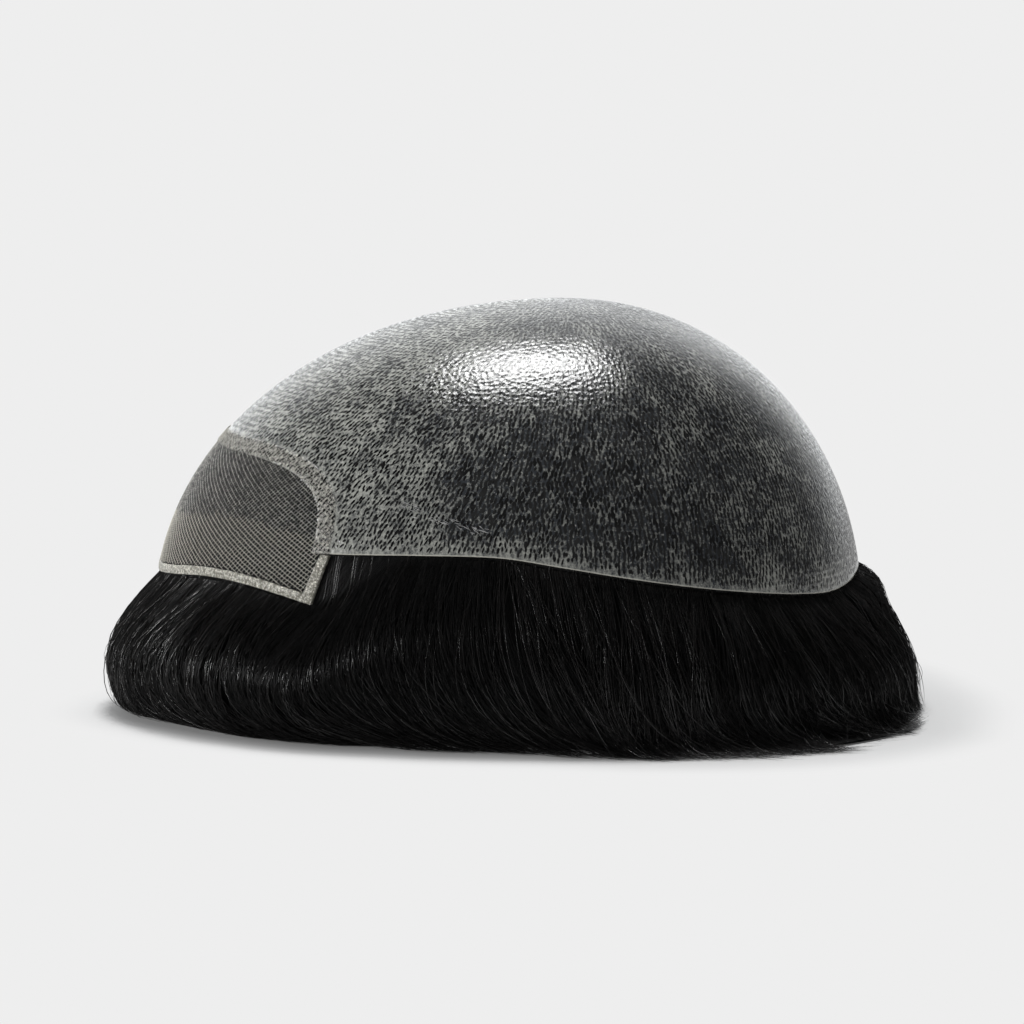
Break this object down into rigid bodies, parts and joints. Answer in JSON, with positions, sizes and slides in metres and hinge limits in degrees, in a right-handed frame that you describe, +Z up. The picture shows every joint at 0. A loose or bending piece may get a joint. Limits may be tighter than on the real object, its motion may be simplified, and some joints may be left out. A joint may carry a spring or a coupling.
{
  "type": "toupee hairpiece",
  "caption": "Toupee lying inside out: domed clear skin base with a net front edged in tape, on a roll of straight black hair.",
  "frame": {"origin": "middle of the bounding box at table level", "axes": "+Z up, the lace front faces -Y, the back of the head faces +Y, and left and right mirror each other in X"},
  "size_m": [0.173, 0.2068, 0.103],
  "materials": {
    "skin": "thin glossy skin with dark hair roots",
    "lace": "fine beige net over black hair",
    "seam": "net set in clear skin",
    "binding": "crackled beige tape",
    "hair": "straight glossy black hair"
  },
  "bodies": {
    "root": {"skin_base": "skin", "lace_front": "lace", "lace_seam": "seam", "front_binding": "binding", "hair": "hair"}
  },
  "joints": []
}
